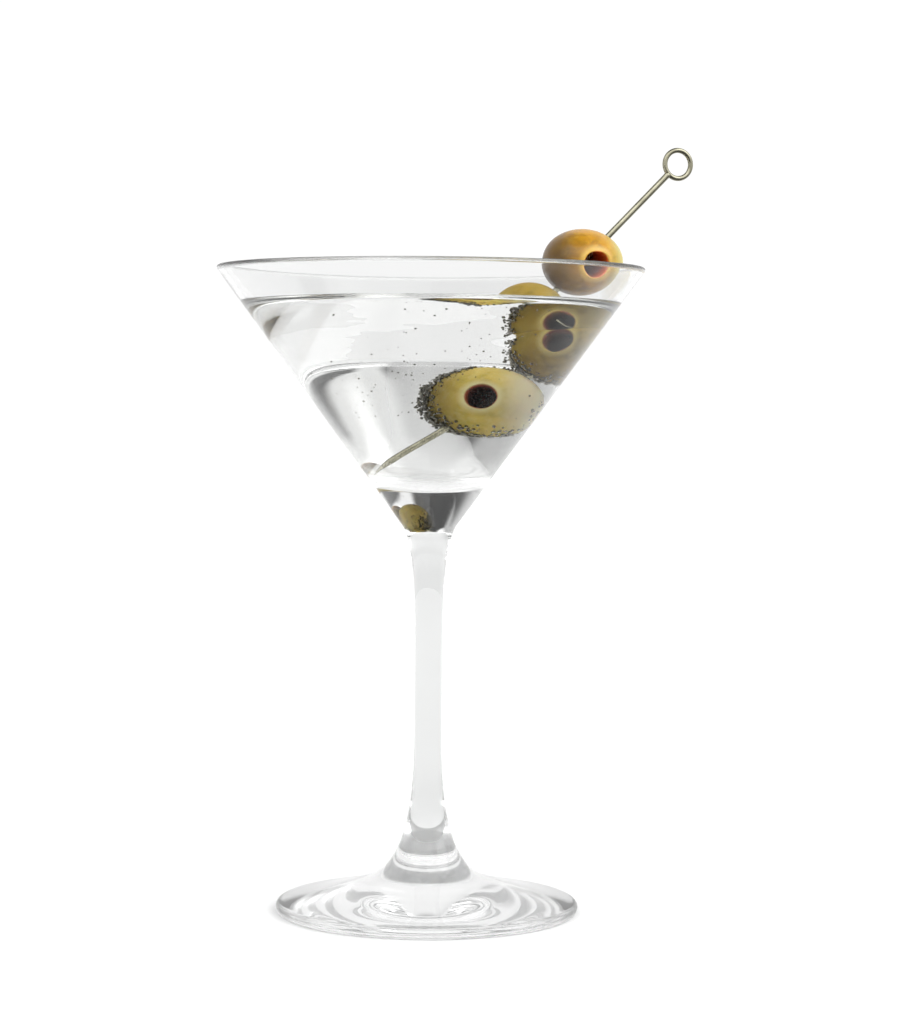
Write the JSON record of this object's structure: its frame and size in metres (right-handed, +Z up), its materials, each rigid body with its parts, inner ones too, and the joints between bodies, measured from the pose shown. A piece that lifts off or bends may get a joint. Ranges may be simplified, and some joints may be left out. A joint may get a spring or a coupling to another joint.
{
  "type": "martini cocktail",
  "caption": "Stemmed cocktail glass with a cone-shaped bowl, filled with a clear drink, with pitted olives threaded on a thin metal pick that ends in a ring and leans on the bowl.",
  "frame": {"origin": "centre of the foot's flat underside, on the glass's axis", "axes": "+Z up along the stem; +X towards the side the pick leans to; the pick and its ring lie in a plane parallel to XZ"},
  "size_m": [0.1406, 0.1196, 0.2173],
  "materials": {
    "glass": "clear polished glass",
    "drink": "clear liquid",
    "pick": "polished stainless steel",
    "olive": "moist, slightly glossy olive skin"
  },
  "bodies": {
    "root": {"glass": "glass", "drink": "drink", "pick": "pick", "olive_top": "olive", "olive_middle": "olive", "olive_bottom": "olive"}
  },
  "joints": []
}
